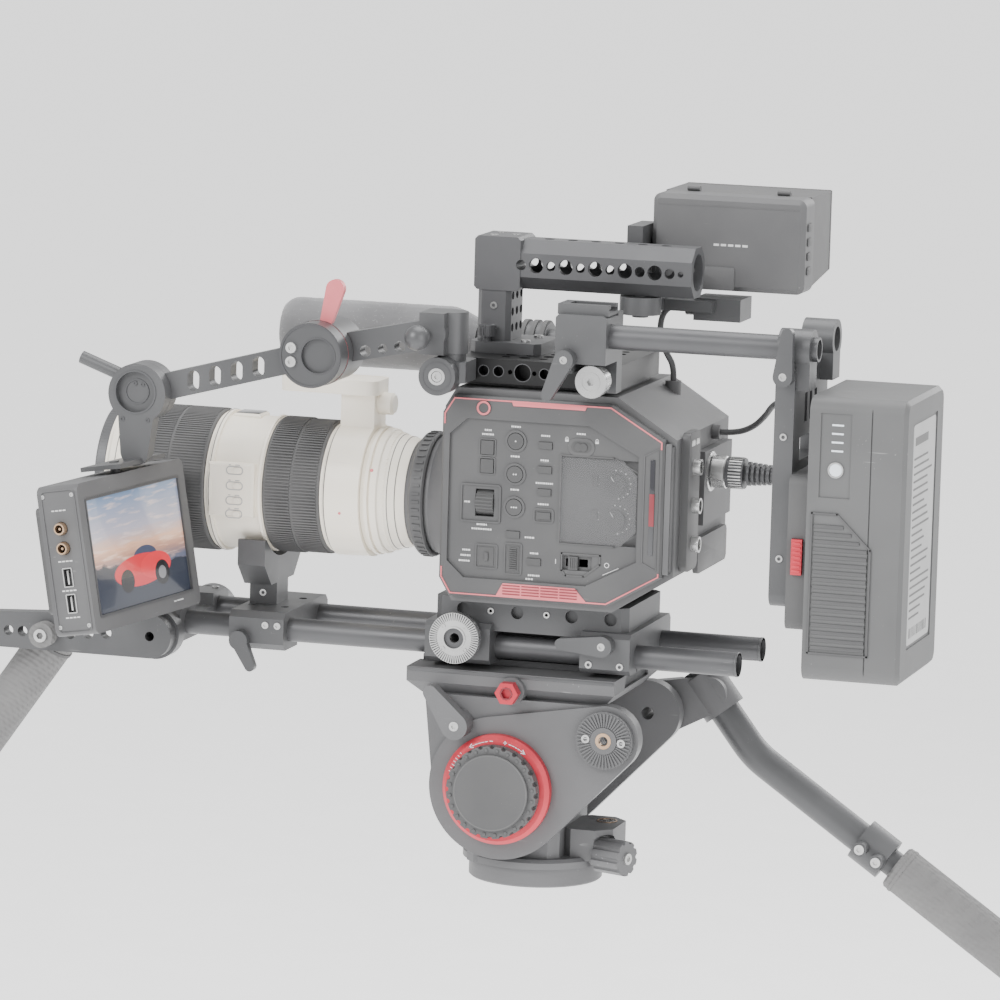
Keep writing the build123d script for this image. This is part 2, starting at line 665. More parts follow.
def key_shapes(grow):
    """Outlines of all sprung keys in plan, grown by an allowance, from behind the face out."""
    out = FACE_Y - 0.9 if grow == 0 else FACE_Y - 5
    back = BODY_NEAR - 0.2 if grow == 0 else BODY_NEAR + 1
    keys = Part()
    for x, z in ROUND_KEYS:
        keys += along_y(out, back, x, z, ROUND_KEY_R + grow)
    for size, places in ((SMALL_KEY, SMALL_KEYS), (SQUARE_KEY, SQUARE_KEYS)):
        half_x, half_z = size[0] / 2 + grow, size[1] / 2 + grow
        for x, z in places:
            keys += block((x - half_x, x + half_x), (out, back), (z - half_z, z + half_z))
    rise = FACE_Y - PANEL_RECESS - 0.6 if grow == 0 else out
    keys += along_y(rise, back, RECORD_KEY[0], RECORD_KEY[1], RECORD_KEY_R + grow)
    return keys


def side_panel():
    """Operator's control panel: raised frame, sunk face and its cut-outs."""
    near = BODY_NEAR - PANEL_T
    body = prism_y(PANEL_OUTLINE, near, BODY_NEAR)
    body = chamfer(body.faces().sort_by(Axis.Y)[0].edges(), 1.5)
    body -= prism_y(FACE_OUTLINE, near - 1, FACE_Y)
    body -= key_shapes(BUTTON_FIT)
    (x0, x1), (z0, z1) = WELL
    body -= block((x0, x1), (near - 1, WELL_FLOOR), (z0, z1))
    half = WHEEL_W / 2 + 0.5
    body -= block((WHEEL_X - half, WHEEL_X + half), (near - 1, BODY_NEAR + 1), (WHEEL_Z - 8.5, WHEEL_Z + 8.5))
    body -= block((POWER_X - 10, POWER_X + 10), (near - 1, FACE_Y + 2), (POWER_Z - 4.5, POWER_Z + 4.5))
    body -= block((POWER_X - 7, POWER_X + 7), (near - 1, BODY_NEAR + 1), (POWER_Z - 2.5, POWER_Z + 2.5))
    for z in AUDIO_ROWS:
        body -= along_y(near - 1, BODY_NEAR + 1, KNOB_X, z, 2 + RUN)
    return body


def keypad():
    """All sprung keys of the panel, with the record key."""
    return key_shapes(0)


def iris_wheel():
    """Thumb wheel on an axle along X, sunk in the panel."""
    y = FACE_Y + 6.5
    half = WHEEL_W / 2
    wheel = along_x(WHEEL_X - half, WHEEL_X + half, y, WHEEL_Z, WHEEL_R - 1.5)
    ribs = 24
    for i in range(ribs):
        turn = radians(360 * i / ribs)
        cut_y = y + (WHEEL_R - 1.5) * cos(turn)
        cut_z = WHEEL_Z + (WHEEL_R - 1.5) * sin(turn)
        wheel -= along_x(WHEEL_X - half - 1, WHEEL_X + half + 1, cut_y, cut_z, 0.6)
    return wheel


def audio_knob(z):
    """One audio level knob with a pointer groove."""
    out = WELL_FLOOR - 2.6
    knob = along_y(out, WELL_FLOOR - 0.1, KNOB_X, z, 6)
    knob += along_y(WELL_FLOOR - 0.1, BODY_NEAR + 0.5, KNOB_X, z, 2)
    return knob - block((KNOB_X - 0.4, KNOB_X + 0.4), (out - 1, out + 0.5), (z, z + 5))


def audio_door():
    """Clear door over the audio controls, hinged on its front edge."""
    (x0, x1), (z0, z1) = WELL
    gap = 0.2
    pin_r = DOOR_T / 2
    pin_x, pin_y = x0 + gap + pin_r, FACE_Y - DOOR_PROUD + pin_r
    door = block((pin_x, x1 - gap), (pin_y - pin_r, pin_y + pin_r), (z0 + gap, z1 - gap))
    corners = door.edges().filter_by(Axis.Y).sort_by(Axis.X)[-2:]
    return chamfer(corners, 9) + along_z(z0 + gap, z1 - gap, pin_x, pin_y, pin_r)


def power_switch():
    """Slide switch in its sunk track."""
    body = block((POWER_X - 5, POWER_X + 1), (FACE_Y - 0.6, FACE_Y + 1.9), (POWER_Z - 4.2, POWER_Z + 4.2))
    body += block((POWER_X - 5, POWER_X + 1), (FACE_Y + 1.9, BODY_NEAR), (POWER_Z - 2.3, POWER_Z + 2.3))
    return body


DOOR_T = 1.2  # clear door, and how far it stands proud of the face
DOOR_PROUD = 0.8
CARD_X = (BODY_X1 - 6 + AIR, BODY_X1 - 1)
CARD_PIN_R = 1.2
CARD_Z = (BODY_Z0 + 26, BODY_Z1 - 26)


def card_door():
    """Door of the memory card bay, on the panel's rear edge."""
    pin_x, pin_y = CARD_X[1] - CARD_PIN_R, BODY_NEAR - AIR - CARD_PIN_R
    door = block((CARD_X[0], pin_x), (BODY_NEAR - 4.5, BODY_NEAR - AIR), CARD_Z)
    return rounded(door, Axis.X, 1.5) + along_z(CARD_Z[0] + 2, CARD_Z[1] - 2, pin_x, pin_y, CARD_PIN_R)


# ---------------------------------------------------------------- lens
def lens_barrel():
    """Fixed barrel: front rim, white sections and the bayonet end."""
    inner = 30.0
    profile = [
        (LENS_FRONT, LENS_R - 6),
        (LENS_FRONT, LENS_R - 1),
        (LENS_FRONT + 1.5, LENS_R),
        (LENS_FRONT + 8, LENS_R),
        (LENS_FRONT + 9, LENS_R - 0.6),
        (FOCUS_X0 - AIR, LENS_R - 0.6),
        (FOCUS_X0 - AIR, NECK_R),
        (FOCUS_X1 + AIR, NECK_R),
        (FOCUS_X1 + AIR, LENS_R - 1.2),
        (FOCUS_X1 + 22, LENS_R - 2.2),
        (ZOOM_X0 - AIR, LENS_R - 2.6),
        (ZOOM_X0 - AIR, NECK_R),
        (ZOOM_X1 + AIR, NECK_R),
        (ZOOM_X1 + AIR, LENS_R - 4.0),
        (COLLAR_X0 - AIR, LENS_R - 4.0),
        (COLLAR_X0 - AIR, NECK_R - 1),
        (COLLAR_X1 + AIR, NECK_R - 1),
        (COLLAR_X1 + AIR, LENS_R - 5.4),
        (COLLAR_X1 + 11, LENS_R - 6.4),
        (LENS_REAR - 8, LENS_R - 9),
        (LENS_REAR - 4, LENS_R - 9.8),
        (LENS_REAR, LENS_R - 10.8),
        (LENS_REAR, inner - 6),
        (LENS_REAR - 30, inner - 6),
        (LENS_REAR - 34, inner),
        (LENS_FRONT + 14, inner),
        (LENS_FRONT + 14, LENS_R - 6),
    ]
    body = turned(profile)
    window = block((FOCUS_X1 + 7, FOCUS_X1 + 25), (-9, 9), (LENS_Z + LENS_R - 8, LENS_Z + LENS_R - 0.6))
    body += chamfer(window.faces().sort_by(Axis.Z)[-1].edges(), 1.2)
    switches = block((FOCUS_X1 + 3, ZOOM_X0 - 5), (-LENS_R + 0.2, -LENS_R + 10), (LENS_Z - 17, LENS_Z + 17))
    body += chamfer(switches.faces().sort_by(Axis.Y)[0].edges(), 1.2)
    return body - along_x(LENS_FRONT + 14, LENS_REAR - 34, 0, LENS_Z, inner)


def ring_sleeve(x0, x1, radius, taper=0.0):
    """Turning sleeve around the barrel's neck."""
    bore = NECK_R + RUN
    profile = [(x0, bore), (x0, radius - 0.8), (x0 + 0.8, radius), (x1 - 0.8, radius - taper)]
    return turned(profile + [(x1, radius - taper - 0.8), (x1, bore)])


def lens_collar():
    """Tripod collar turned upwards, with its foot and clamp knob."""
    bore = NECK_R - 1 + RUN
    ring = turned([(COLLAR_X0, bore), (COLLAR_X0, LENS_R - 1.9), (COLLAR_X1, LENS_R - 2.4), (COLLAR_X1, bore)])
    foot_z = LENS_Z + 61
    stem = block((COLLAR_X0, COLLAR_X1), (-12, 12), (LENS_Z + 40, foot_z + 3))
    foot = block((COLLAR_X1 - 62, COLLAR_X1 + 2), (-16, 16), (foot_z, foot_z + 9))
    foot = rounded(foot, Axis.Z, 7)
    knob = along_x(COLLAR_X1, COLLAR_X1 + 10, 0, foot_z - 6, 7)
    knob = chamfer(knob.faces().sort_by(Axis.X)[-1].edges(), 1.5)
    foot -= along_z(foot_z - 1, foot_z + 10, COLLAR_X1 - 46, 0, 3.2)
    return ring + stem + foot + knob


def lens_glass():
    """Front element behind the rim."""
    radius = LENS_R - 6.5
    face = LENS_FRONT + 5
    dish = radius * radius / 240.0
    blank = along_x(face - dish, face + 8, 0, LENS_Z, radius)
    ball = Pos(face - dish + 120.0, 0, LENS_Z) * Sphere(120.0)
    return blank & ball


# ---------------------------------------------------------------- top plate and handle
def top_plate():
    """Drilled plate that carries the handle, the rod clamp and the monitor arm."""
    z0, z1 = CHEESE_Z0, CHEESE_Z0 + CHEESE_T
    plate = block((CHEESE_X0, CHEESE_X1), (-CHEESE_HALF, CHEESE_HALF), (z0, z1))
    plate = eased(plate, Axis.Z, 5)
    middle = (z0 + z1) / 2
    edge_holes = ((-28.0, 3.1), (-18.5, 3.1), (-3.0, 5.2), (11.0, 3.1), (21.0, 3.1))
    for x, radius in edge_holes:
        for side in (-1, 1):
            y0, y1 = sorted((side * (CHEESE_HALF - 10), side * (CHEESE_HALF + 1)))
            plate -= along_y(y0, y1, x, middle, radius)
    for x in (-11.0, 4.5):
        for side in (-1, 1):
            y0, y1 = sorted((side * (CHEESE_HALF - 6), side * (CHEESE_HALF + 1)))
            plate -= along_y(y0, y1, x, middle, 1.4)
    columns = 7
    pitch = 12.0
    for row in range(-3, 4):
        for column in range(columns):
            x = -18 + pitch * column
            y = row * pitch
            if x < 54:
                plate -= along_z(z0 - 1, z1 + 1, x, y, 2.6 if (row + column) % 2 else 3.6)
    return plate


def handle_section(radius):
    """Octagonal section of the grip, in y and z about its own centre."""
    cut = radius * 0.48
    return [
        (-radius, -cut),
        (-cut, -radius),
        (cut, -radius),
        (radius, -cut),
        (radius, cut),
        (cut, radius),
        (-cut, radius),
        (-radius, cut),
    ]


def top_handle():
    """Drilled octagonal grip on a front post, with its foot and thumb screw."""
    top = CHEESE_Z0 + CHEESE_T
    section = [(y, HANDLE_Z + z) for y, z in handle_section(HANDLE_R)]
    grip = prism_x(section, POST_X1 - 2, HANDLE_X1)
    bore = along_x(POST_X1 + 6, HANDLE_X1 + 1, 0, HANDLE_Z, HANDLE_R - 4)
    post = block((POST_X0, POST_X1), (-POST_HALF, POST_HALF), (top, HANDLE_Z + HANDLE_R))
    post = eased(post, Axis.Z, 3)
    head = block((POST_X0 - 2, POST_X1 + 6), (-HANDLE_R - 0.6, HANDLE_R + 0.6), (HANDLE_Z - 16.5, HANDLE_Z + HANDLE_R + 1.5))
    head = eased(head, Axis.Y, 2)
    foot = block((POST_X0 - 2, POST_X1 + 22), (-POST_HALF - 8, POST_HALF + 8), (top, top + 7))
    foot = eased(foot, Axis.Z, 4)
    handle = post + head + foot + grip - bore
    screw = along_z(top + 7 - AIR, top + 10, POST_X0 + 8, -POST_HALF - 3.5, 2.5)
    handle += screw + along_z(top + 10, top + 17, POST_X0 + 8, -POST_HALF - 3.5, 5)
    pitch = 9.5
    sizes = (3.2, 4.6, 2.9, 4.6, 2.9, 4.6, 2.9, 4.6, 3.2, 4.6, 3.2, 1.9)
    for i, radius in enumerate(sizes):
        x = POST_X1 + 6.5 + i * pitch - (2.5 if i == len(sizes) - 1 else 0)
        handle -= along_y(-HANDLE_R - 1, HANDLE_R + 1, x, HANDLE_Z, radius)
    for i in range(6):
        x = POST_X1 + 20 + i * 15
        handle -= along_z(HANDLE_Z, HANDLE_Z + HANDLE_R + 2, x, 0, 3.2)
    for z in (top + 15, top + 25, top + 35):
        handle -= along_x(POST_X0 - 1, POST_X1 + 1, 0, z, 2.6)
        handle -= along_x(POST_X0 - 1, POST_X1 + 1, -9, z, 2.6)
        handle -= along_x(POST_X0 - 1, POST_X1 + 1, 9, z, 2.6)
    pin_top = HANDLE_Z - HANDLE_R
    return handle + along_z(pin_top - LCD_PIN_H, pin_top + 1, LCD_PIVOT_X, 0, LCD_PIN_R)


# ---------------------------------------------------------------- side rod, bracket and battery
SIDE_BLOCK_X = (28.0, 60.0)
SIDE_KNOB_X = 50.0
SIDE_KNOB_Z = SIDE_ROD_Z - 27.5
SIDE_LEVER_X = 42.0
SIDE_LEVER_Z = SIDE_ROD_Z - 13.5
SIDE_BLOCK_Z = (SIDE_ROD_Z - 22.5, SIDE_ROD_Z + 13.5)
SHOE_T = 6.5
LEG_Y = (-62.0, -CHEESE_HALF)


def side_rod_clamp():
    """Block on the top plate's near edge: rod bore, cold shoe and lever boss."""
    body = block(SIDE_BLOCK_X, (-88, LEG_Y[0]), SIDE_BLOCK_Z)
    body = eased(body, Axis.Y, 2)
    body += block((SIDE_BLOCK_X[0] + 8, SIDE_BLOCK_X[1]), LEG_Y, (CHEESE_Z0, SIDE_BLOCK_Z[1]))
    shoe_z = SIDE_BLOCK_Z[1] - 0.5
    shoe = block(SIDE_BLOCK_X, (-84, -62.5), (shoe_z, shoe_z + SHOE_T))
    shoe -= block((SIDE_BLOCK_X[0] + 6, SIDE_BLOCK_X[1] + 1), (-82, -64), (shoe_z + 2, shoe_z + 4.2))
    shoe -= block((SIDE_BLOCK_X[0] + 6, SIDE_BLOCK_X[1] + 1), (-79, -67), (shoe_z + 3.5, shoe_z + SHOE_T + 1))
    body += shoe
    body -= along_x(SIDE_BLOCK_X[0] - 1, SIDE_BLOCK_X[1] + 1, SIDE_ROD_Y, SIDE_ROD_Z, ROD_R + RUN)
    body -= block((SIDE_KNOB_X - 11, SIDE_BLOCK_X[1] + 1), (-89, -62), (SIDE_BLOCK_Z[0] - 1, SIDE_KNOB_Z + 11))
    body -= along_y(-64, -CHEESE_HALF + 1, SIDE_KNOB_X, SIDE_KNOB_Z, 3 + RUN)
    body -= along_y(-89, -80, SIDE_LEVER_X - 6, SIDE_LEVER_Z, 3 + RUN)
    return body


def side_clamp_lever():
    """Ratchet lever that locks the rear rod."""
    x, z = SIDE_LEVER_X - 6, SIDE_LEVER_Z
    lever = strap((x, z), (x - 10, z - 22), 6, 3.5, -97, -90.5)
    lever += along_y(-97, -88 - AIR, x, z, 6)
    lever += along_y(-88 - AIR, -81, x, z, 3)
    return lever - along_y(-98, -94, x, z, 2.4)


def side_knob():
    """Knurled steel knob that draws the clamp to the top plate."""
    knob = along_y(-84, -62 - AIR, SIDE_KNOB_X, SIDE_KNOB_Z, 7)
    knob += along_y(-84, -72, SIDE_KNOB_X, SIDE_KNOB_Z, 9.8)
    knob += along_y(-62 - AIR, -CHEESE_HALF - 1, SIDE_KNOB_X, SIDE_KNOB_Z, 3)
    plane = Plane(origin=(SIDE_KNOB_X, -85, SIDE_KNOB_Z), x_dir=(1, 0, 0), z_dir=(0, 1, 0))
    return knob - plane * extrude(RegularPolygon(2.5, 6), 4)


def rear_rod():
    """15 mm tube from the side clamp to the battery bracket."""
    rod = along_x(SIDE_ROD_X0, SIDE_ROD_X1, SIDE_ROD_Y, SIDE_ROD_Z, ROD_R)
    return rod - along_x(SIDE_ROD_X0 - 1, SIDE_ROD_X1 + 1, SIDE_ROD_Y, SIDE_ROD_Z, ROD_R - 1.5)


BRACKET_LEVER_X = 172.0
BRACKET_LEVER_Z = SIDE_ROD_Z - 15.5
BRACKET_Z = (SIDE_ROD_Z - 156.5, SIDE_ROD_Z - 8.5)


def battery_bracket():
    """Two rod clamps, the slotted web between them and the upright that carries the battery."""
    x0, x1 = BRACKET_X0, BRACKET_X0 + BRACKET_T
    y_far = SIDE_ROD_Y + 2 * ROD_HALF_SPACING
    body = block((x0, x1), (-87, -3), BRACKET_Z)
    body = rounded(body, Axis.X, 8)
    for y in (SIDE_ROD_Y, y_far):
        body += along_x(x0, x1 + 8, y, SIDE_ROD_Z, 12)
        body += block((x0, x1 + 8), (y - 9, y + 9), (BRACKET_Z[1] - 16, SIDE_ROD_Z - 8))
    body -= along_x(x0 - 1, x1 + 9, SIDE_ROD_Y, SIDE_ROD_Z, ROD_R + RUN)
    body -= along_x(x0 - 1, x1 + 9, y_far, SIDE_ROD_Z, ROD_R + RUN)
    body -= along_y(-88, -80, BRACKET_LEVER_X, BRACKET_LEVER_Z, 3 + RUN)
    for y in (-57, -45, -33):
        body -= along_x(x0 - 1, x1 + 1, y, BRACKET_Z[1] - 10, 3.2)
        body -= block((x0 - 1, x1 + 1), (y - 3, y + 3), (BRACKET_Z[1] - 38, BRACKET_Z[1] - 20))
    body -= block((x0 - 1, x1 + 1), (-70, -20), (BRACKET_Z[1] - 60, BRACKET_Z[1] - 46))
    for i in range(4):
        for y in (-72, -18):
            body -= along_x(x0 - 1, x1 + 1, y, BRACKET_Z[0] + 16 + 18 * i, 3.2)
    end = POWER_ROUTE[-1]
    return body + along_x(end[0], x0 + 1, end[1], end[2], 4.5)


def bracket_lever():
    """Ratchet lever of the battery bracket's rod clamp."""
    x, z = BRACKET_LEVER_X, BRACKET_LEVER_Z
    lever = strap((x, z), (x + 2, z + 26), 6, 3.5, -95, -89.5)
    lever += along_y(-95, -87 - AIR, x, z, 6)
    lever += along_y(-87 - AIR, -81, x, z, 3)
    return lever - along_y(-96, -92, x, z, 2.4)


VLOCK_X = (BRACKET_X0 + BRACKET_T, BATTERY_X0 - AIR)
VLOCK_Y = (-93.0, -7.0)
VLOCK_Z = (BATTERY_Z0 + 29.0, BATTERY_Z0 + 123.0)
RELEASE_Z = (VLOCK_Z[0] + 34.0, VLOCK_Z[0] + 56.0)


def wedge_outline(half_top, half_foot, z0, z1):
    """Battery wedge: wide at the top, narrow at the foot, in y and z."""
    return [
        (BATTERY_Y - half_foot, z0),
        (BATTERY_Y + half_foot, z0),
        (BATTERY_Y + half_top, z1),
        (BATTERY_Y - half_top, z1),
    ]


def battery_plate():
    """Wedge plate: the battery drops in from above."""
    body = block(VLOCK_X, VLOCK_Y, VLOCK_Z)
    body = rounded(body, Axis.X, 6)
    notch = wedge_outline(24, 14, VLOCK_Z[0] + 30, VLOCK_Z[1] + 1)
    body -= prism_x(notch, VLOCK_X[1] - 6, VLOCK_X[1] + 1)
    body -= block((VLOCK_X[0] + 3, VLOCK_X[0] + 10), (VLOCK_Y[0] - 1, VLOCK_Y[0] + 6), RELEASE_Z)
    end = XLR_ROUTE[-1]
    return body + along_y(VLOCK_Y[1] - 1, end[1], end[0], end[2], 4)


def battery_release():
    """Sprung thumb catch on the plate's near edge."""
    x0 = VLOCK_X[0] + 3.2
    return block((x0, x0 + 6.6), (VLOCK_Y[0] - 2.6, VLOCK_Y[0] + 2), (RELEASE_Z[0] + 0.2, RELEASE_Z[1] - 0.2))


def battery_pack():
    """Battery with its wedge, corner radii and label recess."""
    x0, x1 = BATTERY_X0, BATTERY_X0 + BATTERY_DEPTH
    y0, y1 = BATTERY_Y - BATTERY_W / 2, BATTERY_Y + BATTERY_W / 2
    z1 = BATTERY_Z0 + BATTERY_H
    body = block((x0, x1), (y0, y1), (BATTERY_Z0, z1))
    body = rounded(body, Axis.X, 9)
    body = chamfer(body.faces().sort_by(Axis.X)[-1].edges(), 2.5)
    wedge = wedge_outline(24 - AIR - 1, 14 - AIR - 1, VLOCK_Z[0] + 32, VLOCK_Z[1] - 2)
    body += prism_x(wedge, x0 - 6, x0 + 1)
    body -= block((x0 + 38, x0 + 38.8), (y0 - 1, y0 + 0.8), (BATTERY_Z0 - 1, z1 + 1))
    body -= block((x0 + 7, x0 + 26), (y0 - 1, y0 + 0.8), (z1 - 60, z1 - 9))
    body -= block((x1 - 0.8, x1 + 1), (y0 + 18, y1 - 18), (BATTERY_Z0 + 20, z1 - 14))
    return body


# ---------------------------------------------------------------- monitor arm
ARM_PIN_R = 5.0
ARM_Z0 = CHEESE_Z0 + CHEESE_T
BACK_Y = (-83.0, -72.5)  # rear arm and its hub disc
RING_Y = (-92.0, -83.3)  # lock lever's ring
FRONT_Y = (-103.0, -92.3)  # front arm and its hub disc
END_Y = (-114.0, -103.3)  # monitor bracket
HUB_PIN_R = 6.0


def arm_mount():
    """Clamp on the top plate's front corner with an upright hinge pin."""
    z0 = ARM_Z0
    body = block((ARM_X - 2, ARM_X + 18), (-78, -CHEESE_HALF), (CHEESE_Z0 + 2, z0))
    body = eased(body, Axis.Z, 3)
    body += along_y(-86, -70, ARM_X + 3, CHEESE_Z0 + 6.5, 11.7)
    body -= along_y(-87, -69, ARM_X + 3, CHEESE_Z0 + 6.5, 3.5)
    body += along_z(z0, z0 + 4, ARM_X + 6, ARM_Y + 4, 9)
    return body + along_z(z0, z0 + 30, ARM_X + 6, ARM_Y + 4, ARM_PIN_R)


def arm_rear():
    """Rear arm: hinge block around the pin, drilled link and its hub disc."""
    px, py = ARM_X + 6, ARM_Y + 4
    z0, z1 = ARM_Z0 + 4 + AIR, ARM_Z0 + 30
    hinge = along_z(z0, z1, px, py, 10)
    hinge += block((px - 16, px), (BACK_Y[0], py + 10), (z0, z1))
    link = strap((HUB_X, HUB_Z), (px - 8, (z0 + z1) / 2), 9, 9, BACK_Y[0], BACK_Y[1])
    disc = along_y(BACK_Y[0], BACK_Y[1] + 14, HUB_X, HUB_Z, ARM_HUB_R)
    body = hinge + link + disc
    knob = along_y(-96, BACK_Y[0], px - 12, (z0 + z1) / 2 - 1, 4)
    body += knob
    body += Pos(px - 12, -99, (z0 + z1) / 2 - 1) * Sphere(7.8)
    for i, radius in enumerate((3.6, 3.0, 3.6)):
        x = HUB_X + 28 + 11 * i
        body -= along_y(BACK_Y[0] - 1, BACK_Y[1] + 1, x, HUB_Z + 2 + 2 * i, radius)
    body -= along_z(z0 - 1, z1 + 1, px, py, ARM_PIN_R + RUN)
    return body + along_y(FRONT_Y[0] + 2, BACK_Y[0], HUB_X, HUB_Z, HUB_PIN_R)


def arm_lock_lever():
    """Ring and paddle that lock the hub."""
    ring = along_y(RING_Y[0], RING_Y[1] - AIR, HUB_X, HUB_Z, ARM_HUB_R)
    tip = (HUB_X + 10, HUB_Z + 40)
    root = (HUB_X + 4, HUB_Z + 17)
    paddle = strap(root, tip, 3.6, 5.8, RING_Y[0] + 1, RING_Y[1] - 3)
    return ring + paddle - along_y(RING_Y[0] - 1, RING_Y[1], HUB_X, HUB_Z, HUB_PIN_R + RUN)


def arm_front():
    """Front arm: hub disc, slotted link and the end disc."""
    disc = along_y(FRONT_Y[0] - 3, FRONT_Y[1], HUB_X, HUB_Z, ARM_HUB_R)
    link = strap((END_X, END_Z), (HUB_X, HUB_Z), 8.2, 8.2, FRONT_Y[0], FRONT_Y[1])
    end = along_y(FRONT_Y[0], FRONT_Y[1], END_X, END_Z, END_R)
    body = disc + link + end
    dx, dz = HUB_X - END_X, HUB_Z - END_Z
    run = sqrt(dx * dx + dz * dz)
    for i in range(4):
        along = 34 + 14.5 * i
        body -= slot_y(
            END_X + dx * along / run, END_Z + dz * along / run, 7.5, 12.5, FRONT_Y[0] - 4, FRONT_Y[1] + 1
        )
    body -= along_y(FRONT_Y[0] - 4, FRONT_Y[0] - 0.5, HUB_X + 5, HUB_Z, 11)
    body -= along_y(FRONT_Y[0] + 2 - AIR, FRONT_Y[1] + 1, HUB_X, HUB_Z, HUB_PIN_R + RUN)
    stud = block((HUB_X - 18, HUB_X - 6), (FRONT_Y[0] - 3, FRONT_Y[0]), (HUB_Z - 7, HUB_Z + 7))
    body += stud
    body -= along_y(FRONT_Y[0] - 1, FRONT_Y[1] + 1, END_X, END_Z, END_PIN_R + RUN)
    return body


END_PIN_R = 5.0


def monitor_frame():
    """Plane at the middle of the screen's top edge: x across, y up the screen, z out of it."""
    lean, yaw = radians(MONITOR_LEAN), radians(MONITOR_YAW)
    face = Vector(cos(yaw) * cos(lean), -sin(yaw) * cos(lean), sin(lean))
    wide = Vector(sin(yaw), cos(yaw), 0)
    return Plane(origin=(MONITOR_TOP_X, MONITOR_Y, MONITOR_TOP_Z), x_dir=wide, z_dir=face)


def monitor_block(across, down, depth):
    """Box on the monitor's own axes."""
    centre = ((across[0] + across[1]) / 2, -(down[0] + down[1]) / 2, -(depth[0] + depth[1]) / 2)
    size = (across[1] - across[0], down[1] - down[0], depth[1] - depth[0])
    return monitor_frame() * (Pos(*centre) * Box(*size))


BRACKET_FOOT = (-6.0, -3.2)  # plate over the monitor's top, as distances down from it


def monitor_bracket():
    """Disc on the arm's end, its tail and the plate over the monitor."""
    disc = along_y(END_Y[0], END_Y[1], END_X, END_Z, END_R)
    disc -= along_y(END_Y[0] - 1, END_Y[0] + 4, END_X - 1, END_Z + 1, 13)
    tail = strap((END_X, END_Z), (END_X - 1, END_Z - 36), 13, 9, END_Y[0], END_Y[1])
    body = disc + (tail - along_y(END_Y[0] - 1, END_Y[0] + 4, END_X - 1, END_Z + 1, 13))
    body += monitor_block((-18, 40), BRACKET_FOOT, (-4, 24))
    body += along_y(END_Y[1], FRONT_Y[1] - 1, END_X, END_Z, END_PIN_R)
    screw_a = Vector(END_X - 14, END_Y[0] + 6, END_Z + 11)
    aim = Vector(-0.94, 0, 0.34)
    body += Plane(origin=screw_a, z_dir=aim) * Cylinder(4, 26, align=(Align.CENTER, Align.CENTER, Align.MIN))
    hole = monitor_frame() * (Pos(SHOE_PIVOT, 0, -10) * Rot(90, 0, 0) * Cylinder(3 + RUN, 30))
    return body - hole


SHOE_PIVOT = 0.0


def monitor_housing():
    """Field monitor: housing with screen recess, side sockets and top stud."""
    half = MONITOR_W / 2
    body = monitor_block((-half, half), (0, MONITOR_H), (0, MONITOR_T))
    body = fillet(body.edges().filter_by(Axis((0, 0, 0), monitor_frame().z_dir)), 5)
    body -= monitor_block((-half + 9, half - 9), (11, MONITOR_H - 10), (-1, 1.2))
    for down in (26, 38):
        body -= monitor_frame() * (Pos(-half + 1, -down, -14) * Rot(0, 90, 0) * Cylinder(4.2, 6))
    for down in (56, 72):
        body -= monitor_block((-half - 1, -half + 5), (down - 5.5, down + 5.5), (11, 17))
    stud = monitor_frame() * (Pos(SHOE_PIVOT, 3.5, -10) * Rot(90, 0, 0) * Cylinder(3, 7))
    body += stud
    pack = monitor_block((-36, 36), (16, MONITOR_H - 12), (MONITOR_T, MONITOR_T + 20))
    return body + pack


# ---------------------------------------------------------------- viewfinder screen
LCD_PIVOT_X = 57.0
LCD_AXIS_Z = LCD_Z0 + 29.0
LCD_PIN_R = 5.0
LCD_PIN_H = 14.0


def lcd_bracket():
    """Swivel under the handle's rear end and the arm to the screen's hinge."""
    low = HANDLE_Z - HANDLE_R
    body = along_z(low - 12, low - 1, LCD_PIVOT_X, 0, 13)
    body += block((LCD_PIVOT_X - 8, LCD_PIVOT_X + 8), (0, 36), (low - 12, low - 3))
    body += block((LCD_X0 - 12, LCD_X0 - 2), (26, LCD_Y + 8), (low - 12, LCD_AXIS_Z + 10))
    body += block((LCD_X0 - 12, LCD_PIVOT_X + 8), (26, 36), (low - 12, low - 3))
    body += block((LCD_PIVOT_X - 8, 96), (26, 36), (low - 12, low - 5))
    body += block((82, 112), (34, 62), (low - 18, low - 4))
    body += along_x(LCD_X0 - 2, LCD_X0 + 10, LCD_Y, LCD_AXIS_Z, 4)
    for i in range(4):
        x = LCD_ROUTE[0][0] + 2 * i
        body += along_x(x, x + 1.2, LCD_ROUTE[0][1], LCD_ROUTE[0][2], 5.5)
    body += along_x(LCD_ROUTE[0][0], 84, LCD_ROUTE[0][1], LCD_ROUTE[0][2], 4)
    body -= along_z(low - LCD_PIN_H - 1, low, LCD_PIVOT_X, 0, LCD_PIN_R + RUN)
    return body


def lcd_housing():
    """Screen housing with bevelled back and rounded corners."""
    body = block((LCD_X0, LCD_X1), (LCD_Y - LCD_T / 2, LCD_Y + LCD_T / 2), (LCD_Z0, LCD_Z1))
    body = rounded(body, Axis.Y, 5)
    body = chamfer(body.faces().sort_by(Axis.Y)[0].edges(), 3)
    body -= block(
        (LCD_X0 + 10, LCD_X1 - 10), (LCD_Y + LCD_T / 2 - 1, LCD_Y + LCD_T / 2 + 1), (LCD_Z0 + 7, LCD_Z1 - 7)
    )
    return body - along_x(LCD_X0 - 1, LCD_X0 + 11, LCD_Y, LCD_AXIS_Z, 4 + RUN)


HOOD_PIN_Z = LCD_Z1 + 1.8


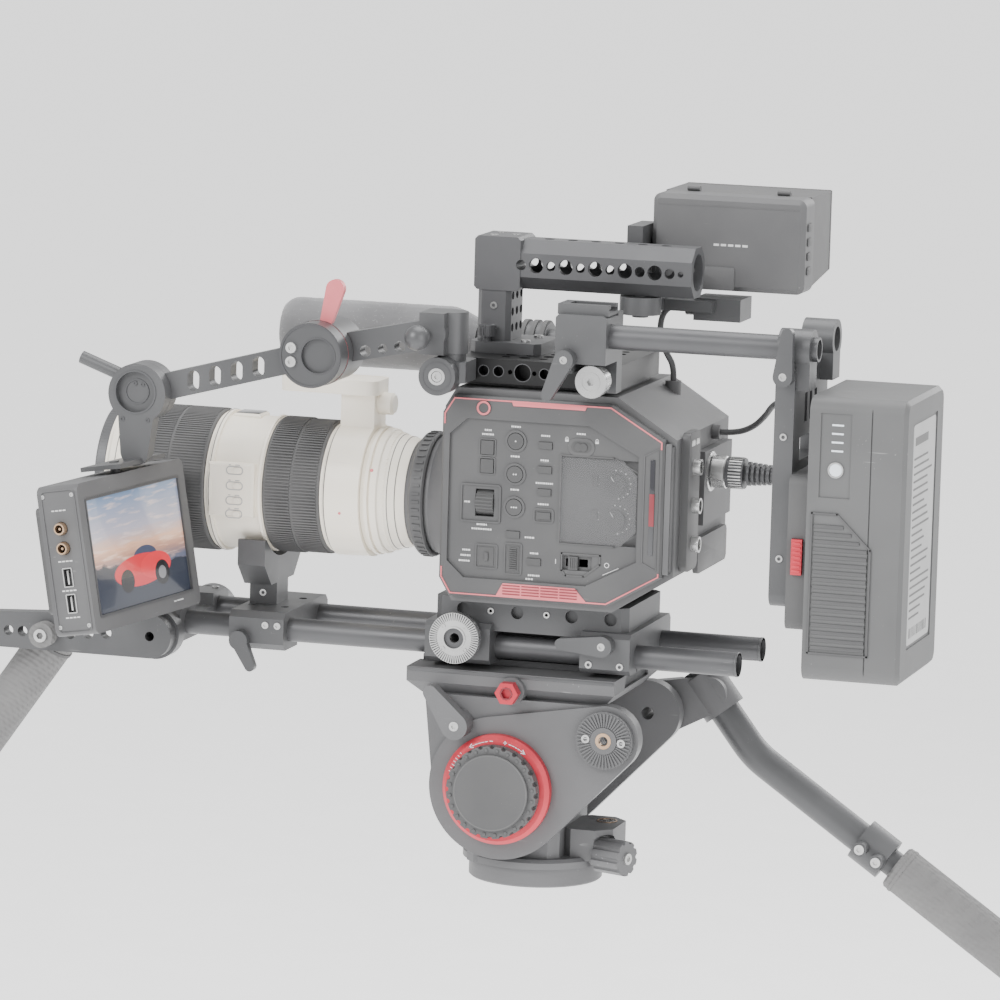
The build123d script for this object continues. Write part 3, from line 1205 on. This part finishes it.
def lcd_hood():
    """Folding shade around the screen, hinged along its top edge."""
    face = LCD_Y + LCD_T / 2
    y0 = face + AIR
    y1 = y0 + 52
    t = 1.6
    body = block((LCD_X0 + 2, LCD_X1 - 2), (y0, y1), (LCD_Z1 - t, LCD_Z1))
    for x0, x1 in ((LCD_X0 + 2, LCD_X0 + 2 + t), (LCD_X1 - 2 - t, LCD_X1 - 2)):
        side = [(y0, LCD_Z0 + 2), (y1, LCD_Z0 + 9), (y1, LCD_Z1), (y0, LCD_Z1)]
        body += prism_x(side, x0, x1)
    for x in (LCD_X0 + 16, LCD_X1 - 24):
        body += along_x(x, x + 8, face, HOOD_PIN_Z, 1.5)
        body += block((x, x + 8), (y0, y0 + 3), (LCD_Z1 - t, HOOD_PIN_Z + 1))
    return body


# ---------------------------------------------------------------- microphone
def microphone():
    """Shotgun microphone with its ring holder on the top plate's far edge."""
    body = along_x(FOAM_X1 - 100, -8, MIC_Y, MIC_Z, MIC_R)
    body += along_x(-8, 8, MIC_Y, MIC_Z, 8)
    body += along_x(-44, -26, MIC_Y, MIC_Z, 15)
    body += along_x(-18, -10, MIC_Y, MIC_Z, 13)
    return body + block((-42, -28), (CHEESE_HALF, MIC_Y - 10), (CHEESE_Z0 + 1, CHEESE_Z0 + 13))


def windshield():
    """Foam windshield, domed at the front and tapered at the rear."""
    body = along_x(FOAM_X0, FOAM_X1, MIC_Y, MIC_Z, FOAM_R)
    body = fillet(body.faces().sort_by(Axis.X)[0].edges(), 11)
    body = chamfer(body.faces().sort_by(Axis.X)[-1].edges(), length=14, length2=7)
    return body - along_x(FOAM_X1 - 101, FOAM_X1 + 1, MIC_Y, MIC_Z, MIC_R)


# ---------------------------------------------------------------- rod furniture in front
SUPPORT_X = (-190.0, -172.0)
SUPPORT_R = LENS_R + 1.2
SUPPORT_Z1 = LENS_Z - 32.0


def lens_support():
    """Slotted bridge on the rods with a column and the cradle under the lens."""
    x0, x1 = SUPPORT_X
    body = block((x0 - 2, x1 + 16), (-44, 44), (ROD_Z - 12, ROD_Z + 12))
    body = eased(body, Axis.X, 4)
    body -= rod_bores(x0 - 3, x1 + 17, ROD_R + RUN)
    body += block((x0, x1), (-11, 11), (ROD_Z + 11, SUPPORT_Z1 - 22))
    cradle_block = block((x0, x1), (-36, 36), (SUPPORT_Z1 - 30, SUPPORT_Z1))
    cradle_block = chamfer(cradle_block.faces().sort_by(Axis.Z)[0].edges().filter_by(Axis.X), 14)
    body += cradle_block
    body -= along_x(x0 - 1, x1 + 1, 0, LENS_Z, SUPPORT_R)
    body -= block((x0 - 3, x1 + 17), (-16, 16), (ROD_Z - 13, ROD_Z - 4))
    for x in (x0 + 4, x1 + 8):
        body -= along_z(ROD_Z - 14, ROD_Z + 13, x, 18, 2.6) + along_z(ROD_Z - 14, ROD_Z + 13, x, -18, 2.6)
    lever = along_y(-50, -43, x0 + 6, ROD_Z - 6, 6)
    lever += strap((x0 + 6, ROD_Z - 6), (x0 + 14, ROD_Z - 22), 5, 3.2, -50, -45)
    return body + lever


FRONT_CLAMP_X = (ROD_X0 + 1.0, ROD_X0 + 28.0)
FRONT_ROSETTE_X = ROD_X0 + 15.0
FRONT_ROSETTE_Z = 144.0


def front_rod_clamp():
    """Clamp on the rods' front ends with a rosette on each side."""
    body = block(FRONT_CLAMP_X, (-46, 46), (ROD_Z - 11, ROD_Z + 11))
    body = eased(body, Axis.X, 4)
    body -= rod_bores(FRONT_CLAMP_X[0] - 1, FRONT_CLAMP_X[1] + 1, ROD_R + RUN)
    body -= block((FRONT_CLAMP_X[0] - 1, FRONT_CLAMP_X[1] + 1), (-17, 17), (ROD_Z + 3, ROD_Z + 12))
    for side in (-1, 1):
        y0, y1 = sorted((side * 45, side * 56))
        body += along_y(y0, y1, FRONT_ROSETTE_X, FRONT_ROSETTE_Z, 15.9)
        body -= along_y(y0, y1, FRONT_ROSETTE_X, FRONT_ROSETTE_Z, 3)
    return body


ARM_NEAR = (-66.0, -56.3)
GRIP_REACH = 69.0  # grip in front of the rosette
GRIP_X = FRONT_ROSETTE_X - GRIP_REACH
GRIP_Z = 141.0
GRIP_LENGTH = 118.0
GRIP_R = 14.5
GRIP_SLOPE = -125.0  # degrees from +X, down and forwards


def grip_arm():
    """Drilled arm from the front rosette."""
    body = strap((FRONT_ROSETTE_X, FRONT_ROSETTE_Z), (GRIP_X - 44, GRIP_Z), 14, 11, ARM_NEAR[0], ARM_NEAR[1])
    body -= along_y(ARM_NEAR[0] - 1, ARM_NEAR[1] + 1, FRONT_ROSETTE_X, FRONT_ROSETTE_Z, 3)
    for i in range(3):
        body -= along_y(ARM_NEAR[0] - 1, ARM_NEAR[1] + 1, GRIP_X + 16 + 12 * i, GRIP_Z + 1 + i, 3.6)
    for i in range(4):
        body -= along_y(ARM_NEAR[0] - 1, ARM_NEAR[1] + 1, GRIP_X - 16 - 9.5 * i, GRIP_Z, 3.2)
    body -= along_y(ARM_NEAR[0] - 1, ARM_NEAR[1] + 1, GRIP_X, GRIP_Z, 4 + RUN)
    return body


def hand_grip():
    """Rubber covered handle on its own rosette, with its clamp screw."""
    aim = Vector(cos(radians(GRIP_SLOPE)), 0, sin(radians(GRIP_SLOPE)))
    y = ARM_NEAR[1] + AIR + 6 + GRIP_R
    disc = along_y(ARM_NEAR[1] + AIR, ARM_NEAR[1] + AIR + 8, GRIP_X, GRIP_Z, 13)
    start = Vector(GRIP_X, y, GRIP_Z) + aim * 6
    neck = Plane(origin=start - aim * 14, z_dir=aim) * Cylinder(9, 24, align=(Align.CENTER, Align.CENTER, Align.MIN))
    grip = Plane(origin=start, z_dir=aim) * Cylinder(
        GRIP_R, GRIP_LENGTH, align=(Align.CENTER, Align.CENTER, Align.MIN)
    )
    grip = chamfer(grip.edges().filter_by(GeomType.CIRCLE), 3)
    body = disc + neck + grip
    body += along_y(ARM_NEAR[0] - 8, ARM_NEAR[1] + 1, GRIP_X, GRIP_Z, 4)
    return body + along_y(ARM_NEAR[0] - 10, ARM_NEAR[0] - AIR, GRIP_X, GRIP_Z, 8)


# ---------------------------------------------------------------- plugs and leads
def xlr_plug():
    """Audio plug with its ribbed strain relief."""
    x = BODY_X1 + 1
    body = along_x(x, x + 8, XLR_Y, XLR_Z, XLR_RING_R)
    body += along_x(x + 8, x + 26, XLR_Y, XLR_Z, 9.6)
    relief = along_x(x + 26, x + 48, XLR_Y, XLR_Z, 5)
    for i in range(6):
        relief += along_x(x + 28 + 3.2 * i, x + 29.6 + 3.2 * i, XLR_Y, XLR_Z, 7.6 - 0.3 * i)
    return body + relief



def lead(points, radius):
    """Solid lead along its route; prints the arc radii."""
    solid, radii, path = tube_along(points, radius)
    print("lead radii", [round(r, 1) for r in radii], "length", round(path.length, 1))
    return solid


PARTS = {
    "head_base": head_base,
    "head_yoke": head_yoke,
    "pan_lock_knob": pan_lock_knob,
    "cradle": cradle,
    "tilt_drag_ring": tilt_drag_ring,
    "counterbalance_dial": counterbalance_dial,
    "plate_lock_lever": plate_lock_lever,
    "plate_safety_button": plate_safety_button,
    "pan_bar_clamp": pan_bar_clamp,
    "pan_bar": pan_bar,
    "pan_bar_extension": pan_bar_extension,
    "slide_plate": slide_plate,
    "baseplate": baseplate,
    "baseplate_rosettes": baseplate_rosettes,
    "rod_clamp_lever": rod_clamp_lever,
    "rail_rods": rail_rods,
    "camera_body": camera_body,
    "side_panel": side_panel,
    "keypad": keypad,
    "iris_wheel": iris_wheel,
    "audio_knob_upper": lambda: audio_knob(AUDIO_ROWS[0]),
    "audio_knob_lower": lambda: audio_knob(AUDIO_ROWS[1]),
    "audio_door": audio_door,
    "power_switch": power_switch,
    "card_door": card_door,
    "lens_barrel": lens_barrel,
    "focus_ring": lambda: ring_sleeve(FOCUS_X0, FOCUS_X1, LENS_R + 0.2),
    "zoom_ring": lambda: ring_sleeve(ZOOM_X0, ZOOM_X1, LENS_R - 2.0, 1.2),
    "lens_collar": lens_collar,
    "lens_glass": lens_glass,
    "top_plate": top_plate,
    "top_handle": top_handle,
    "side_rod_clamp": side_rod_clamp,
    "side_clamp_lever": side_clamp_lever,
    "side_knob": side_knob,
    "rear_rod": rear_rod,
    "battery_bracket": battery_bracket,
    "bracket_lever": bracket_lever,
    "battery_plate": battery_plate,
    "battery_release": battery_release,
    "battery_pack": battery_pack,
    "arm_mount": arm_mount,
    "arm_rear": arm_rear,
    "arm_lock_lever": arm_lock_lever,
    "arm_front": arm_front,
    "monitor_bracket": monitor_bracket,
    "monitor_housing": monitor_housing,
    "lcd_bracket": lcd_bracket,
    "lcd_housing": lcd_housing,
    "lcd_hood": lcd_hood,
    "microphone": microphone,
    "windshield": windshield,
    "lens_support": lens_support,
    "front_rod_clamp": front_rod_clamp,
    "grip_arm": grip_arm,
    "hand_grip": hand_grip,
    "xlr_plug": xlr_plug,
    "xlr_lead": lambda: lead(XLR_ROUTE, XLR_LEAD_R),
    "lcd_lead": lambda: lead(LCD_ROUTE, LEAD_R),
    "power_lead": lambda: lead(POWER_ROUTE, LEAD_R),
}


def main():
    """Write one STEP file per piece."""
    os.makedirs("parts", exist_ok=True)
    for name, make in PARTS.items():
        export_step(make(), f"parts/{name}.step")


if __name__ == "__main__":
    main()
